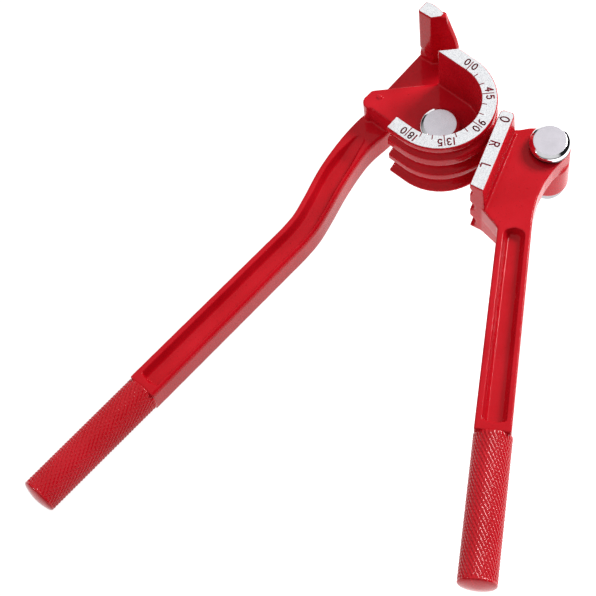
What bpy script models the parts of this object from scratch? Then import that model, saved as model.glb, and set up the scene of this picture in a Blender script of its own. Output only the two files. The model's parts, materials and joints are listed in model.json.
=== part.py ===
"""Manual 3-in-1 lever tube bender, 180 degrees, for 6, 8 and 10 mm tube.

Metres, +Z up.  +X runs from the forming axis to the 0 mark of the dial, +Y is
the way the held tube leaves through the hook.  The numbers below are
millimetres above the underside of the die; LIFT moves them so that z = 0 is
the lower face of the centre pin's riveted end.
"""

import bpy
import bmesh
from math import acos, atan2, cos, hypot, pi, radians, sin
from mathutils import Matrix, Vector

MM = 0.001
GAP = 0.3                 # air between touching sub-parts
LIFT = 14.7               # underside of the die above z = 0

BEND = radians(71.5)      # bend angle in the modelled position

# forming die
DIE_R = 27.5              # outer radius of the die, centre of the tube grooves
DIE_IN = 19.9             # radius of the open hollow
DIE_TOP = 42.0
PAINT = 0.4               # thickness of the white scale layers
GROOVES = ((7.2, 5.2), (21.6, 4.2), (35.0, 3.2))   # level and radius: 10, 8, 6 mm tube
DIE_TAIL = 9.7            # straight run at the 180 end
CUT_SUM = 37.4            # the 0 end is cut on x + y = CUT_SUM
FLOOR_TOP = 12.5          # floor of the hollow
HUB_R = 12.0
HUB_BOTTOM = -7.2

# hook that holds the tube
PLATE_TOP = 1.8
PLATE_BOTTOM = -3.5
HOOK_RELIEF = 5.6         # radius cleared in the hook for the 10 mm tube
HOOK_BACK = 39.5
HOOK_OUT = 39.4

# handles
BEAM_T = 16.0             # thickness of both handle beams
POCKET = 5.0              # depth of the long recess in each face of a beam
A_RAIL = 2.4              # mean width of the rails beside the fixed handle's recess
A_SHIFT = 0.5             # how far that recess lies off the beam's centre line
B_RAIL = 2.9              # the same rail on the swinging handle's outer side
A_TOP = -0.2              # top of the fixed handle's beam
B_TOP = 24.5              # top of the swinging handle's beam and of its arm plate
GRIP_R = 9.1
GRIP_L = 69.0
A_TURN = radians(177.7)   # direction of the fixed handle
A_GRIP = (-188.0, 27.56)  # where the fixed handle's grip starts
B_TURN = radians(212.7)   # direction of the swinging handle
B_OFFSET = 41.2           # its centre line's distance from the forming axis
B_START = 52.5            # start of its beam, measured along the centre line
B_GRIP = 157.0            # start of its grip, measured the same way

# shoe and arm, in the arm's own plan axes: u along the shoe, v away from the die
SHOE_FACE = 29.1
SHOE_BACK = 36.3
SHOE_FOOT = 1.3           # underside of the shoe
SHOE_ENDS = (-38.4, 4.4)
ARM_PIN_UV = (2.24, 54.46)
PLATE_T = 11.5
BOSS_R = 10.0

# link and pins
LINK_TOP = -7.5
LINK_T = 4.0
LINK_R = 8.6
SHANK_R = 5.0
BORE_R = 5.3
HEAD_R = 9.8
HEAD_FLAT_R = 8.2
HEAD_T = 6.0
RING_R = 7.6
RING_T = 1.9
RIVET_R = 6.2

U = Vector((sin(BEND), cos(BEND)))
V = Vector((cos(BEND), -sin(BEND)))


def uv(u, v):
    """Plan point of the arm's own axes."""
    p = U * u + V * v
    return (p.x, p.y)


ARM_PIN = uv(*ARM_PIN_UV)
A_DIR = Vector((cos(A_TURN), sin(A_TURN)))
B_DIR = Vector((cos(B_TURN), sin(B_TURN)))
B_SIDE = Vector((-B_DIR.y, B_DIR.x))


def along_b(s, n):
    """Plan point s along the swinging handle and n to its outer side."""
    p = B_DIR * s + B_SIDE * (B_OFFSET + n)
    return (p.x, p.y)


def material(name, colour, metallic, roughness):
    mat = bpy.data.materials.new(name)
    mat.use_nodes = True
    shader = mat.node_tree.nodes["Principled BSDF"]
    shader.inputs["Base Color"].default_value = (*colour, 1.0)
    shader.inputs["Metallic"].default_value = metallic
    shader.inputs["Roughness"].default_value = roughness
    return mat


def finish(name, bm, look, origin=(0.0, 0.0, 0.0)):
    """Turn a millimetre mesh into a named object whose origin is the given point."""
    bmesh.ops.remove_doubles(bm, verts=bm.verts[:], dist=0.002)
    bmesh.ops.recalc_face_normals(bm, faces=bm.faces[:])
    start = Vector(origin)
    for vert in bm.verts:
        vert.co = (vert.co + Vector((0.0, 0.0, LIFT)) - start) * MM
    mesh = bpy.data.meshes.new(name)
    bm.to_mesh(mesh)
    bm.free()
    mesh.shade_smooth()
    mesh.set_sharp_from_angle(angle=radians(35))
    colour, metallic, roughness = LOOKS[look]
    mesh.materials.append(material(name + "_mat", colour, metallic, roughness))
    obj = bpy.data.objects.new(name, mesh)
    obj.location = start * MM
    bpy.context.scene.collection.objects.link(obj)
    return obj


def arc(centre, radius, start, end, steps):
    """Points of an arc, angles in degrees."""
    out = []
    for i in range(steps + 1):
        a = radians(start + (end - start) * i / steps)
        out.append((centre[0] + radius * cos(a), centre[1] + radius * sin(a)))
    return out


def area(loop):
    total = 0.0
    for (x0, y0), (x1, y1) in zip(loop, loop[1:] + loop[:1]):
        total += x0 * y1 - x1 * y0
    return total / 2.0


def inset(loop, distance):
    """The outline moved inwards by a small distance."""
    loop = loop if area(loop) > 0 else loop[::-1]
    out = []
    count = len(loop)
    for i, (x, y) in enumerate(loop):
        ax, ay = loop[i - 1]
        bx, by = loop[(i + 1) % count]
        before = Vector((x - ax, y - ay)).normalized()
        after = Vector((bx - x, by - y)).normalized()
        middle = Vector((-before.y - after.y, before.x + after.x)).normalized()
        reach = distance / max(0.35, middle.dot(Vector((-before.y, before.x))))
        out.append((x + middle.x * reach, y + middle.y * reach))
    return out


def wall(bm, low, high):
    """Faces between two outlines of equal length, given as 3-D points."""
    a = [bm.verts.new(p) for p in low]
    b = [bm.verts.new(p) for p in high]
    count = len(a)
    for i in range(count):
        j = (i + 1) % count
        bm.faces.new((a[i], a[j], b[j], b[i]))


def cap(bm, z, outline, holes=()):
    """A flat face at z with holes left open."""
    edges = []
    for loop in (outline, *holes):
        verts = [bm.verts.new((x, y, z)) for x, y in loop]
        for i, vert in enumerate(verts):
            edges.append(bm.edges.new((vert, verts[(i + 1) % len(verts)])))
    bmesh.ops.triangle_fill(bm, use_beauty=True, edges=edges)


def raised(loop, z):
    return [(x, y, z) for x, y in loop]


def slab(outline, z0, z1, holes=(), top=(), bottom=(), chamfer=0.0):
    """A plate with through holes, recesses in either face and chamfered rims.

    top and bottom list recesses as (outline, depth)."""
    bm = bmesh.new()
    if area(outline) < 0:
        outline = outline[::-1]
    rim = inset(outline, chamfer) if chamfer else outline
    if chamfer:
        wall(bm, raised(rim, z0), raised(outline, z0 + chamfer))
        wall(bm, raised(outline, z1 - chamfer), raised(rim, z1))
    wall(bm, raised(outline, z0 + chamfer), raised(outline, z1 - chamfer))
    for hole in holes:
        wall(bm, raised(hole, z0), raised(hole, z1))
    for level, inward, recesses in ((z1, -1.0, top), (z0, 1.0, bottom)):
        for loop, depth in recesses:
            wall(bm, raised(loop, level + inward * depth), raised(loop, level))
            cap(bm, level + inward * depth, loop)
        cap(bm, level, rim, (*holes, *(loop for loop, _ in recesses)))
    return bm


def sweep(sections):
    """A solid through closed sections of 3-D points."""
    bm = bmesh.new()
    for low, high in zip(sections, sections[1:]):
        wall(bm, low, high)
    for section in (sections[0], sections[-1]):
        verts = [bm.verts.new(p) for p in section]
        edges = [bm.edges.new((v, verts[(i + 1) % len(verts)])) for i, v in enumerate(verts)]
        bmesh.ops.triangle_fill(bm, use_beauty=True, edges=edges)
    return bm


def turned(profile, place, steps=40):
    """A turned solid: profile of (radius, height), open ends closed with flat discs."""
    bm = bmesh.new()
    rings = []
    for radius, height in profile:
        ring = []
        for i in range(steps):
            a = 2.0 * pi * i / steps
            ring.append(place @ Vector((radius * cos(a), radius * sin(a), height)))
        rings.append(ring)
    for low, high in zip(rings, rings[1:]):
        wall(bm, low, high)
    if profile[0] != profile[-1]:
        for ring in (rings[0], rings[-1]):
            bm.faces.new([bm.verts.new(p) for p in ring])
    return bm


def upright(centre):
    return Matrix.Translation((centre[0], centre[1], 0.0))


def lying(start, direction, z):
    """Places a turned solid with its axis level, starting at a plan point."""
    turn = Vector((direction.x, direction.y, 0.0)).to_track_quat("Z", "Y").to_matrix()
    return Matrix.Translation((start[0], start[1], z)) @ turn.to_4x4()


def smooth_line(points, steps):
    """A smooth curve through the given rows of numbers."""
    out = []
    rows = [points[0], *points, points[-1]]
    for k in range(1, len(rows) - 2):
        p0, p1, p2, p3 = (Vector(row) for row in rows[k - 1:k + 3])
        for i in range(steps):
            t = i / steps
            value = 2.0 * p1 + (p2 - p0) * t
            value += (2.0 * p0 - 5.0 * p1 + 4.0 * p2 - p3) * t * t
            value += (3.0 * p1 - p0 - 3.0 * p2 + p3) * t * t * t
            out.append(tuple(value * 0.5))
    out.append(tuple(points[-1]))
    return out


def ribbon(rows):
    """Outline of a band with the centre line and half width (x, y, half) of each row."""
    left = []
    right = []
    for i, (x, y, half) in enumerate(rows):
        ax, ay, _ = rows[max(0, i - 1)]
        bx, by, _ = rows[min(len(rows) - 1, i + 1)]
        run = Vector((bx - ax, by - ay)).normalized()
        left.append((x - run.y * half, y + run.x * half))
        right.append((x + run.y * half, y - run.x * half))
    return left + right[::-1]


def groove_profile(face, sign, top, bottom, edge=0.4):
    """Points up a grooved face; sign is -1 where the material lies at smaller numbers.

    The grooves are centred on DIE_R, so a face further out has shallower ones."""
    out = [(face + sign * edge, bottom), (face, bottom + edge)]
    for level, radius in GROOVES:
        reach = acos(abs(face - DIE_R) / radius)
        half = radius * sin(reach) + 0.35
        out.append((face, level - half))
        for i in range(9):
            a = reach * 0.84 * (i / 4.0 - 1.0)
            out.append((DIE_R + sign * radius * cos(a), level + radius * sin(a)))
        out.append((face, level + half))
    out += [(face, top - edge), (face + sign * edge, top)]
    return out


def cut_away(obj, bm):
    """Remove the volume of a millimetre mesh from an object."""
    bmesh.ops.remove_doubles(bm, verts=bm.verts[:], dist=0.002)
    bmesh.ops.recalc_face_normals(bm, faces=bm.faces[:])
    for vert in bm.verts:
        vert.co = (vert.co + Vector((0.0, 0.0, LIFT))) * MM - obj.location
    mesh = bpy.data.meshes.new("cutter")
    bm.to_mesh(mesh)
    bm.free()
    cutter = bpy.data.objects.new("cutter", mesh)
    cutter.location = obj.location
    bpy.context.scene.collection.objects.link(cutter)
    step = obj.modifiers.new("cut", "BOOLEAN")
    step.operation = "DIFFERENCE"
    step.solver = "EXACT"
    step.object = cutter
    bpy.context.view_layer.update()
    result = bpy.data.meshes.new_from_object(obj.evaluated_get(bpy.context.evaluated_depsgraph_get()))
    obj.modifiers.remove(step)
    obj.data = result
    bpy.data.objects.remove(cutter, do_unlink=True)


def former():
    """The fixed casting: die, floor, hub, hook plate, hook and its white tops."""
    def stations(radii):
        """Plan points of one radius list at every station round the die."""
        rows = [[(r, CUT_SUM - r) for r in radii]]
        for i in range(33):
            a = -pi * i / 32
            rows.append([(r * cos(a), r * sin(a)) for r in radii])
        rows.append([(-r, DIE_TAIL) for r in radii])
        return rows

    outer = groove_profile(DIE_R, -1.0, DIE_TOP, 0.0)
    profile = [(DIE_IN, 0.0), *outer, (DIE_IN, DIE_TOP)]
    sections = []
    for row in stations([r for r, _ in profile]):
        sections.append([(x, y, z) for (x, y), (_, z) in zip(row, profile)])
    finish("forming_die", sweep(sections), "paint")

    white = [(DIE_IN + 0.1, DIE_TOP + GAP), (DIE_R - 0.5, DIE_TOP + GAP)]
    white += [(r, z + PAINT) for r, z in reversed(white)]
    sections = []
    for row in stations([r for r, _ in white]):
        sections.append([(x, y, z) for (x, y), (_, z) in zip(row, white)])
    finish("degree_dial", sweep(sections), "white")

    rim = DIE_IN - GAP
    floor = arc((0.0, 0.0), rim, 0.0, -180.0, 32)
    floor += [(-rim, DIE_TAIL), (-11.2, 20.0), (-11.2, 34.6)]
    floor += arc((-8.2, 36.6), 4.2, 190.0, 95.0, 5) + arc((-4.6, 37.3), 3.3, 90.0, 48.0, 3)
    floor += [(rim, CUT_SUM - 0.1 - rim)]
    bore = arc((0.0, 0.0), BORE_R, 0.0, 360.0 - 15.0, 23)
    finish("former_floor", slab(floor, 0.0, FLOOR_TOP, (bore,)), "paint")
    hub = arc((0.0, 0.0), HUB_R, 0.0, 350.0, 35)
    finish("former_hub", slab(hub, HUB_BOTTOM, -GAP, (bore,), chamfer=0.5), "paint")

    line = CUT_SUM + 0.5
    plate = [(line - HOOK_BACK, HOOK_BACK), (HOOK_OUT, HOOK_BACK), (HOOK_OUT, 20.0)]
    plate += [(35.0, 15.0), (28.4, line - 28.4)]
    finish("hook_plate", slab(plate, PLATE_BOTTOM, PLATE_TOP, chamfer=0.4), "paint")

    post = [(31.6, 38.3), (32.2, 31.3), (36.0, 27.8), (38.5, 27.8), (39.4, 33.0), (39.4, 36.7)]
    post += [(38.6, 39.4), (32.4, 39.4)]
    hook = finish("tube_hook", slab(post, PLATE_TOP + GAP, DIE_TOP, chamfer=0.3), "paint")
    level = GROOVES[0][0]
    tube = turned([(HOOK_RELIEF, 0.0), (HOOK_RELIEF, 30.0)],
                  lying((DIE_R, 20.0), Vector((0.0, 1.0)), level))
    cut_away(hook, tube)
    finish("hook_cap", slab(inset(post, 0.5), DIE_TOP + GAP, DIE_TOP + GAP + PAINT), "white")

    low = PLATE_TOP + GAP
    edge = [(low, 20.2), (10.0, 19.9), (20.0, 19.7), (24.5, 20.6), (28.6, 22.0), (32.4, 23.6)]
    edge += [(36.2, 25.1), (38.6, 26.3), (41.3, 27.1)]
    sections = []
    for z, y in edge:
        plan = [(36.5, 27.5), (36.9, min(25.3, y)), (38.9, y), (39.3, y), (39.3, 27.5)]
        sections.append(raised(plan, z))
    finish("hook_gusset", sweep(sections), "paint")


def fixed_handle():
    """The long fixed handle: a cranked beam with recessed faces, and its grip."""
    end = Vector(A_GRIP)
    rows = [(-1.5, 30.0, 6.4), (-11.0, 32.2, 7.9), (-26.0, 33.0, 7.5), (-45.0, 30.6, 7.6)]
    rows += [(-63.0, 26.2, 7.4), (-74.0, 23.9, 7.3), (-84.0, 23.3, 7.3)]
    far = end - A_DIR * 104.0
    rows[-1] = (far.x, far.y, 7.3)
    rows.append((end.x, end.y, 7.6))
    line = smooth_line(rows[:-1], 5) + [rows[-1]]
    inner = [row for row in line if row[0] < -21.5]
    stop = end - A_DIR * 5.6
    inner[-1] = (stop.x, stop.y, 7.6)
    inner = [(x, y - A_SHIFT, half - A_RAIL) for x, y, half in inner]
    nose = arc(inner[0][:2], inner[0][2], 93.0, -87.0, 8)[1:-1]
    recess = ribbon_with_nose(inner, nose)
    beam = slab(ribbon(line), A_TOP - BEAM_T, A_TOP, top=((recess, POCKET),),
                bottom=((recess, POCKET),), chamfer=0.9)
    finish("fixed_handle", beam, "paint")
    grip(end, A_DIR, A_TOP - BEAM_T / 2.0, "fixed_grip", (0.0, 0.0, 0.0))


def ribbon_with_nose(rows, nose):
    """A band outline whose first end is closed by the points of a rounded nose."""
    band = ribbon(rows)
    count = len(rows)
    left = band[:count]
    right = band[count:]
    if hypot(nose[0][0] - left[0][0], nose[0][1] - left[0][1]) < \
            hypot(nose[-1][0] - left[0][0], nose[-1][1] - left[0][1]):
        nose = nose[::-1]
    return left + right + nose


def grip(start, direction, level, name, origin):
    """The knurled grip, here as its plain outer envelope."""
    r = GRIP_R
    shape = [(r - 1.2, GAP), (r - 0.2, 1.0), (r, 2.0), (r, GRIP_L - 0.3)]
    shape += [(r - 0.4, GRIP_L + 0.5), (r - 1.4, GRIP_L + 0.9), (r * 0.55, GRIP_L + 1.7)]
    shape += [(r * 0.15, GRIP_L + 2.1)]
    place = lying((start.x, start.y), direction, level)
    finish(name, turned(shape, place, 36), "paint", origin)


def swinging_arm():
    """The swinging casting: shoe, plate, skirt, pin boss, handle and grip."""
    origin = (ARM_PIN[0], ARM_PIN[1], B_TOP + LIFT)
    low, high = SHOE_ENDS
    face = groove_profile(SHOE_FACE, 1.0, DIE_TOP, SHOE_FOOT)
    profile = [*face, (SHOE_BACK, DIE_TOP), (SHOE_BACK + 0.7, B_TOP), (SHOE_BACK + 0.7, SHOE_FOOT)]
    sections = []
    for u, shift in ((low, -0.16), (high - 1.2, 0.0)):
        row = []
        for v, z in profile:
            x, y = uv(u + shift * (v - SHOE_FACE), v)
            row.append((x, y, z))
        sections.append(row)
    inner = []
    for v, z in profile:
        middle = (SHOE_FACE + SHOE_BACK) / 2.0
        x, y = uv(high, middle + (v - middle) * 0.72)
        inner.append((x, y, z))
    sections.append(inner)
    finish("bending_shoe", sweep(sections), "paint", origin)

    a, b = SHOE_FACE + 0.4, SHOE_BACK - 0.2
    strip = [uv(low + 0.2, a), uv(high - 1.5, a), uv(high - 0.4, a + 1.4), uv(high - 0.4, b - 1.4)]
    strip += [uv(high - 1.5, b), uv(low - 0.8, b)]
    finish("shoe_scale", slab(strip, DIE_TOP + GAP, DIE_TOP + GAP + PAINT), "white", origin)

    back = SHOE_BACK + 0.7 + GAP
    pu, pv = ARM_PIN_UV
    bore = arc(ARM_PIN, BORE_R, 0.0, 345.0, 23)
    plate = [(-39.6, back), (6.6, back), (9.2, 42.0), (11.0, 47.0)]
    plate += arc((pu, pv), BOSS_R, -30.0, 84.0, 12)
    plate += [(-2.5, 62.4), (-9.0, 60.0), (-16.0, 58.4), (-24.0, 57.9), (-32.0, 58.7)]
    plate = [uv(u, v) for u, v in plate]
    plate += [along_b(B_START - GAP, 7.68), along_b(B_START - GAP, -8.52)]
    plate += [along_b(B_START + 3.4, -8.52)]
    under = [(-34.5, back + 3.4), (-1.0, back + 3.4), (-3.5, 46.0), (-9.0, 50.0)]
    under += [(-22.0, 53.0), (-33.5, 51.0)]
    under = [uv(u, v) for u, v in under]
    finish("arm_plate", slab(plate, B_TOP - PLATE_T, B_TOP, (bore,),
                             bottom=((under, 6.0),), chamfer=0.6), "paint", origin)

    skirt = [(-39.6, back), (1.5, back), (1.5, back + 4.4), (-33.0, back + 4.4), (-36.4, 48.8)]
    skirt += [(-41.2, 48.8), (-42.2, 45.0)]
    skirt = [uv(u, v) for u, v in skirt]
    finish("arm_skirt", slab(skirt, SHOE_FOOT, B_TOP - PLATE_T - GAP, chamfer=0.5), "paint", origin)

    boss = arc(ARM_PIN, BOSS_R, 0.0, 350.0, 35)
    finish("arm_boss", slab(boss, HUB_BOTTOM, B_TOP - PLATE_T - GAP, (bore,), chamfer=0.4),
           "paint", origin)

    widths = ((B_START, 7.95), (100.0, 8.2), (B_GRIP, 8.5))
    rows = [(*along_b(s, -0.27), half) for s, half in widths]
    widths = ((60.5, 7.7), (100.0, 7.9), (B_GRIP - 4.8, 8.2))
    inner = [(*along_b(s, 0.0), half - B_RAIL) for s, half in widths]
    degrees = B_TURN * 180.0 / pi
    nose = arc(inner[0][:2], inner[0][2] - 0.3, degrees + 90.0, degrees + 270.0, 8)[1:-1]
    recess = ribbon_with_nose(inner, nose)
    beam = slab(ribbon(rows), B_TOP - BEAM_T, B_TOP, top=((recess, POCKET),),
                bottom=((recess, POCKET),), chamfer=0.9)
    finish("swing_handle", beam, "paint", origin)
    grip(Vector(along_b(B_GRIP, 0.0)), B_DIR, B_TOP - BEAM_T / 2.0, "swing_grip", origin)


def pin(name, centre, seat, origin):
    """A headed pin: domed-edge head with a flat top, shank and riveted end."""
    z = seat + GAP
    foot = LINK_TOP - LINK_T
    end = foot - GAP - RING_T
    profile = [(SHANK_R, end - 0.2), (SHANK_R, z), (HEAD_R - 0.5, z), (HEAD_R, z + 0.6)]
    profile += [(HEAD_R, z + HEAD_T - 2.4), (HEAD_R - 0.35, z + HEAD_T - 1.2)]
    profile += [(HEAD_R - 0.9, z + HEAD_T - 0.45), (HEAD_FLAT_R, z + HEAD_T)]
    rivet = [(RIVET_R - 1.2, end - 1.0), (RIVET_R, end - 0.6), (RIVET_R, end - 0.3)]
    rivet += [(SHANK_R, end - 0.3)]
    profile = rivet + profile[1:]
    finish(name, turned(profile, upright(centre), 48), "chrome", origin)


def pivot_parts():
    """The link under the head, both pins and their retaining rings."""
    axis = (0.0, 0.0, 0.0)
    at_pin = (ARM_PIN[0], ARM_PIN[1], 0.0)
    lean = atan2(ARM_PIN[1], ARM_PIN[0]) * 180.0 / pi
    outline = arc((0.0, 0.0), LINK_R, lean + 90.0, lean + 270.0, 18)
    outline += arc(ARM_PIN, LINK_R, lean - 90.0, lean + 90.0, 18)
    holes = [arc(c, BORE_R, 0.0, 345.0, 23) for c in ((0.0, 0.0), ARM_PIN)]
    finish("link_bar", slab(outline, LINK_TOP - LINK_T, LINK_TOP, holes, chamfer=0.35), "chrome", axis)
    pin("centre_pin", (0.0, 0.0), FLOOR_TOP, axis)
    pin("arm_pin", ARM_PIN, B_TOP, at_pin)
    top = LINK_TOP - LINK_T - GAP
    for name, centre, origin in (("centre_ring", (0.0, 0.0), axis), ("arm_ring", ARM_PIN, at_pin)):
        profile = [(BORE_R, top - RING_T), (RING_R - 0.3, top - RING_T), (RING_R, top - RING_T + 0.3)]
        profile += [(RING_R, top - 0.3), (RING_R - 0.3, top), (BORE_R, top), (BORE_R, top - RING_T)]
        finish(name, turned(profile, upright(centre), 40), "steel", origin)


LOOKS = {
    "paint": ((0.55, 0.012, 0.02), 0.0, 0.25),
    "white": ((0.8, 0.8, 0.8), 0.0, 0.4),
    "chrome": ((0.75, 0.75, 0.77), 1.0, 0.15),
    "steel": ((0.55, 0.55, 0.57), 1.0, 0.35),
}

for old in list(bpy.data.objects):
    bpy.data.objects.remove(old, do_unlink=True)

former()
fixed_handle()
swinging_arm()
pivot_parts()
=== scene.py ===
"""Looks of a 3-in-1 lever tube bender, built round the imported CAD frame.

The two castings are made again from the CAD's outlines as overlapping closed
shells, fused into one skin and softened, so that they have cast edges and
fillets.  Pins, link, grips, scales and lettering are modelled in fine meshes.
Lengths are in millimetres, with heights from the die's underside; place()
turns them into metres in the frame.
"""

import json
from math import acos, atan2, cos, hypot, pi, radians, sin, sqrt

import bmesh
import bpy
from mathutils import Matrix, Vector, noise


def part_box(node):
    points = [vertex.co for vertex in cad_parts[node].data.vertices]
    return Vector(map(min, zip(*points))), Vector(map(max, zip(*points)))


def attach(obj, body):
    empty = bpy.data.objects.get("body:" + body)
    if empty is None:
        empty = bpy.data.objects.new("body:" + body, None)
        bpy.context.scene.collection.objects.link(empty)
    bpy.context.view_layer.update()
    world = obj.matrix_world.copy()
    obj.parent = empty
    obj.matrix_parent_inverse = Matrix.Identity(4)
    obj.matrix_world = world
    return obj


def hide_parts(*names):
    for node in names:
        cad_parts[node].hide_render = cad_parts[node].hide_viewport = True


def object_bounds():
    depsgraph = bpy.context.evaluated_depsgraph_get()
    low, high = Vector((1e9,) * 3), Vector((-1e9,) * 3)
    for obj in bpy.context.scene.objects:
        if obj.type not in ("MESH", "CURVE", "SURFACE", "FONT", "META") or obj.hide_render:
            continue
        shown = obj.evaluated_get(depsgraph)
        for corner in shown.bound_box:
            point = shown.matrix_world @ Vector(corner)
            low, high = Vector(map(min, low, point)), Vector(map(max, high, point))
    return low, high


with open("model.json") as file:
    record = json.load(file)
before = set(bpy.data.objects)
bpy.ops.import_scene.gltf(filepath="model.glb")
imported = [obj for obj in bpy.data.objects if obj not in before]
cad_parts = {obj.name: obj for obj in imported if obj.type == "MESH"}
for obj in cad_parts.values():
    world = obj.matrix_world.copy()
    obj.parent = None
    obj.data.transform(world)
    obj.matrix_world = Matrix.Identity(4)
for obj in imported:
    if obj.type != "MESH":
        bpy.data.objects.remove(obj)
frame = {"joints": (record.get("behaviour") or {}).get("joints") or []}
cad_low, cad_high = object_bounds()

MM = 0.001
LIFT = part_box("forming_die")[0].z / MM           # height of the die's underside
JOINTS = {joint["name"]: joint for joint in frame["joints"]}
ARM_PIN = tuple(value / MM for value in JOINTS["arm_swing"]["pos_m"][:2])

BEND = radians(71.5)      # turn of the arm's axes from the dial's 0 mark
VOXEL = 0.42              # grid of the fused castings
SOFTEN = 7                # rounds of smoothing after fusing
MERGE = 0.0015            # points closer than this are one point
LAP = 1.0                 # how far a casting's shells run into each other

# forming die
DIE_R = 27.5
DIE_IN = 19.9             # radius of the hollow
DIE_TOP = 42.0
GROOVES = ((7.2, 5.2), (21.6, 4.2), (35.0, 3.2))     # height and radius of each
DIE_TAIL = 9.7            # straight run past the dial's 180 mark
CUT_SUM = 37.4            # x + y on the die's slanting end, beside the hook
FLOOR_TOP = 12.5
HUB_R = 12.0
HUB_BOTTOM = -7.2

# hook
PLATE_TOP = 1.8
PLATE_BOTTOM = -3.5
HOOK_RELIEF = 5.3         # radius cut for the largest tube
HOOK_BACK = 39.5
HOOK_OUT = 39.4
POST = [(31.6, 38.3), (32.2, 31.3), (36.0, 27.8), (38.5, 27.8), (39.4, 33.0), (39.4, 36.7),
        (38.6, 39.4), (32.4, 39.4)]

# handles: A is fixed, B swings
BEAM_T = 16.0
POCKET = 5.0              # depth of the recess in each face
CLOSED = 0.1              # half width where a recess has ended
A_TOP = -0.2
B_TOP = 24.5
GRIP_R = 9.1
GRIP_L = 69.0
A_TURN = radians(177.7)
A_GRIP = (-188.0, 27.56)  # where the grip starts
A_RECESS = 19.5           # start of the recess, along the handle
B_TURN = radians(212.7)
B_OFFSET = 41.2           # from the die's axis to the handle's middle line
B_START = 52.5            # where it starts, along its own direction
B_GRIP = 157.0            # where its grip starts

# shoe and arm, in the arm's own axes
SHOE_FACE = 29.1
SHOE_BACK = 36.3
SHOE_FOOT = 1.3
SHOE_ENDS = (-38.4, 4.4)
ARM_PIN_UV = (2.24, 54.46)
PLATE_T = 11.5
BOSS_R = 10.0

# link and pins
LINK_TOP = -7.5
LINK_T = 4.0
LINK_R = 8.6
LINK_EDGE = 0.6           # rounding of the link's rims
SHANK_R = 5.0
BORE_R = 5.3
HEAD_R = 9.8
HEAD_T = 6.0
PAINTED_SHADE_HEIGHT = 2.9          # height of the painted shade round the foot of a head: dark chrome in place of its contact shadow
RING_R = 7.6
RING_T = 1.9
RING_GAP = 0.1            # between link and ring
RIVET_R = 6.2
GAP = 0.3                 # the CAD's gap between neighbouring pieces

# paint and marks
PAINT_TOP = DIE_TOP + 0.16
PAINT_FOOT = DIE_TOP - 0.5           # inside the casting
PAINT_EDGE = 0.06         # bevel of a film's rim
RAGGED = 0.07             # how far a film's rim wanders
MARK_FOOT = PAINT_TOP - 0.004
MARK_T = 0.03             # height of a mark's low bead
LONG_TICK = 5.5
SHORT_TICK = 2.3
TICK_W = 0.52
FIGURE = (2.2, 3.6)       # width and height of a figure on the dial
FIGURE_W = 0.74           # width of its strokes
FIGURE_R = 23.8           # radius on which the figures stand
LETTER = (2.8, 4.4)       # the same for the letters on the shoe
LETTER_W = 0.78
LETTER_V = 32.7

U = Vector((sin(BEND), cos(BEND)))
V = Vector((cos(BEND), -sin(BEND)))
A_DIR = Vector((cos(A_TURN), sin(A_TURN)))
B_DIR = Vector((cos(B_TURN), sin(B_TURN)))
B_SIDE = Vector((-B_DIR.y, B_DIR.x))


# ---------------------------------------------------------------- outlines

def uv(u, v):
    """Plan point from the arm's own axes."""
    p = U * u + V * v
    return (p.x, p.y)


def to_uv(point):
    """A plan point given in the arm's own axes."""
    p = Vector(point)
    return (p.dot(U), p.dot(V))


def along_b(s, n):
    """Plan point s along the swinging handle and n to its outer side."""
    p = B_DIR * s + B_SIDE * (B_OFFSET + n)
    return (p.x, p.y)


def arc(centre, radius, start, end, steps):
    """Points of an arc, angles in degrees."""
    out = []
    for i in range(steps + 1):
        a = radians(start + (end - start) * i / steps)
        out.append((centre[0] + radius * cos(a), centre[1] + radius * sin(a)))
    return out


def circle(centre, radius, count):
    """A whole circle of the given number of points."""
    return arc(centre, radius, 0.0, 360.0 - 360.0 / count, count - 1)


def area(loop):
    """Area of an outline, negative when it runs clockwise."""
    total = 0.0
    for (x0, y0), (x1, y1) in zip(loop, loop[1:] + loop[:1]):
        total += x0 * y1 - x1 * y0
    return total / 2.0


def inset(loop, distance):
    """The outline, turned anticlockwise, moved inwards by a small distance."""
    loop = loop if area(loop) > 0 else loop[::-1]
    out = []
    count = len(loop)
    for i, (x, y) in enumerate(loop):
        ax, ay = loop[i - 1]
        bx, by = loop[(i + 1) % count]
        before = Vector((x - ax, y - ay)).normalized()
        after = Vector((bx - x, by - y)).normalized()
        middle = Vector((-before.y - after.y, before.x + after.x)).normalized()
        reach = distance / max(0.35, middle.dot(Vector((-before.y, before.x))))
        out.append((x + middle.x * reach, y + middle.y * reach))
    return out


def dense(loop, step):
    """The closed outline with extra points, about a step apart."""
    out = []
    for (x0, y0), (x1, y1) in zip(loop, loop[1:] + loop[:1]):
        parts = max(1, int(hypot(x1 - x0, y1 - y0) / step + 0.5))
        for i in range(parts):
            t = i / parts
            out.append((x0 + (x1 - x0) * t, y0 + (y1 - y0) * t))
    return out


def smooth_line(points, steps):
    """A smooth curve through the given rows of numbers."""
    out = []
    rows = [points[0], *points, points[-1]]
    for k in range(1, len(rows) - 2):
        p0, p1, p2, p3 = (Vector(row) for row in rows[k - 1:k + 3])
        for i in range(steps):
            t = i / steps
            value = 2.0 * p1 + (p2 - p0) * t
            value += (2.0 * p0 - 5.0 * p1 + 4.0 * p2 - p3) * t * t
            value += (3.0 * p1 - p0 - 3.0 * p2 + p3) * t * t * t
            out.append(tuple(value * 0.5))
    out.append(tuple(points[-1]))
    return out


# ------------------------------------------------------------- mesh makers

def wall(bm, low, high):
    """Faces between two outlines of equal length, given as 3-D points."""
    a = [bm.verts.new(p) for p in low]
    b = [bm.verts.new(p) for p in high]
    count = len(a)
    for i in range(count):
        j = (i + 1) % count
        bm.faces.new((a[i], a[j], b[j], b[i]))


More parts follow.
